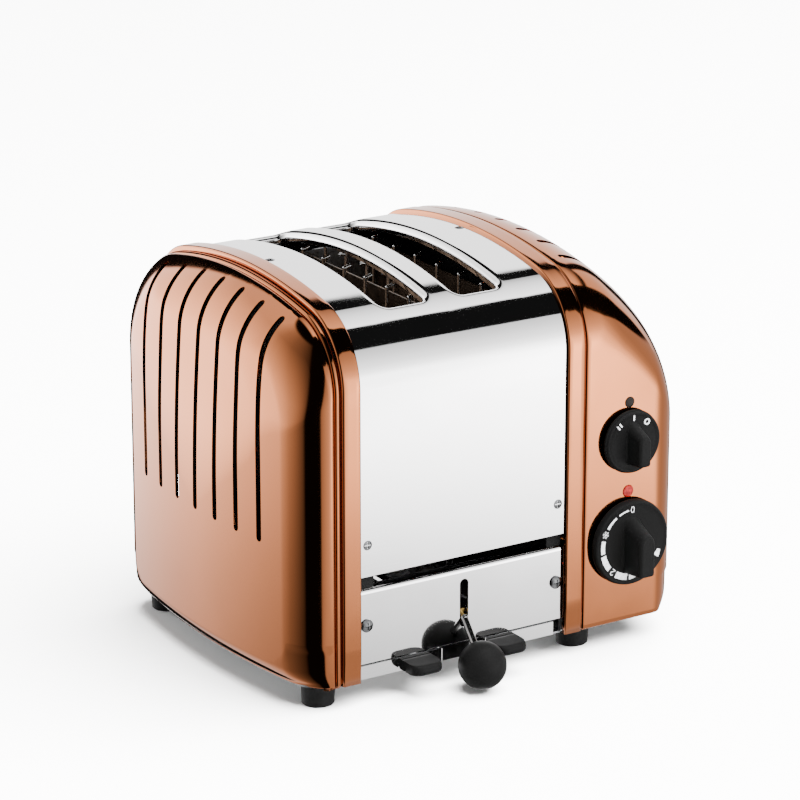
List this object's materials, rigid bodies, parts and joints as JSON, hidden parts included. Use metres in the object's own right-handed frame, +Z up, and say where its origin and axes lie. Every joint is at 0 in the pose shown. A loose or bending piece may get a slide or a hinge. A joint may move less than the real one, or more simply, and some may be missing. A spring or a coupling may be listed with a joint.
{
  "type": "pop up toaster",
  "caption": "Pop up toaster with a folded steel body, vented copper end caps, a ball lever, bread carriers, a selector and a timer knob and a slide-out crumb tray.",
  "frame": {"origin": "middle of the overall box at the height of the table the feet stand on", "axes": "+X toward the end with the knobs, -Y toward the front with the lever, +Z up"},
  "size_m": [0.26, 0.2348, 0.2207],
  "materials": {
    "polished_steel": "polished stainless steel sheet",
    "copper_finish": "smooth metallic copper finish on sheet metal",
    "galvanised_steel": "plain zinc-coated sheet",
    "mica": "dark mica sheet with heating ribbon",
    "bright_wire": "bright plated steel",
    "brass": "plain turned brass",
    "black_plastic": "moulded black, satin",
    "white_plastic": "moulded heat-proof off-white",
    "aluminium_case": "plain pressed case",
    "red_lens": "clear red lens",
    "lead_insulation": "woven sleeve",
    "black_rubber": "moulded black"
  },
  "bodies": {
    "body": {"body_cover": "polished_steel", "lower_front_panel": "polished_steel", "lower_rear_panel": "polished_steel", "left_end_cap": "copper_finish", "right_end_cap": "copper_finish", "left_trim_band": "copper_finish", "right_trim_band": "copper_finish", "base_plate": "galvanised_steel", "tray_centre_strip": "polished_steel", "left_chassis_plate": "galvanised_steel", "right_chassis_plate": "galvanised_steel", "front_baffle": "galvanised_steel", "rear_baffle": "galvanised_steel", "element_left": "mica", "element_centre": "mica", "element_right": "mica", "guard_wires_1": "bright_wire", "guard_wires_2": "bright_wire", "guard_wires_3": "bright_wire", "guard_wires_4": "bright_wire", "guide_rods": "bright_wire", "pivot_bracket": "galvanised_steel", "lever_pivot_pin": "bright_wire", "control_bracket": "galvanised_steel", "selector_switch": "white_plastic", "timer_body": "aluminium_case", "indicator_lens": "red_lens", "lamp_holder": "white_plastic", "index_plug": "black_plastic", "terminal_block": "white_plastic", "cord_gland": "black_plastic", "internal_leads": "lead_insulation", "foot_front_left": "black_rubber", "foot_front_right": "black_rubber", "foot_rear_left": "black_rubber", "foot_rear_right": "black_rubber", "foot_screws": "bright_wire", "top_screws": "bright_wire", "cover_screws": "bright_wire", "panel_screws": "bright_wire"},
    "lever": {"lever_arm": "galvanised_steel", "lever_rod": "bright_wire", "lever_ball": "black_plastic", "lever_collar": "brass"},
    "carriage": {"carriage_bar": "galvanised_steel", "bread_carrier_left": "galvanised_steel", "bread_carrier_right": "galvanised_steel"},
    "selector": {"selector_shaft": "bright_wire", "selector_knob": "black_plastic"},
    "timer": {"timer_shaft": "bright_wire", "timer_knob": "black_plastic"},
    "tray": {"crumb_tray": "polished_steel", "tray_grip_left": "black_plastic", "tray_grip_right": "black_plastic"}
  },
  "joints": [
    {"name": "lever_turn", "type": "hinge", "parent": "body", "child": "lever", "pos_m": [-0.0215, -0.0499, 0.045], "axis": [-1, 0, 0], "range_deg": [0, 27]},
    {"name": "carriage_slide", "type": "slide", "parent": "body", "child": "carriage", "axis": [0, 0, -1], "range_m": [0, 0.028]},
    {"name": "selector_turn", "type": "hinge", "parent": "body", "child": "selector", "pos_m": [0.082, -0.0892, 0.117], "axis": [0, 1, 0], "range_deg": [-40, 40]},
    {"name": "timer_turn", "type": "hinge", "parent": "body", "child": "timer", "pos_m": [0.082, -0.0892, 0.0596], "axis": [0, 1, 0], "range_deg": [0, 240]},
    {"name": "tray_slide", "type": "slide", "parent": "body", "child": "tray", "axis": [0, -1, 0], "range_m": [0, 0.135]}
  ],
  "couplings": [
    {"joint": "carriage_slide", "follows": "lever_turn", "m_per_rad": 0.0594}
  ]
}
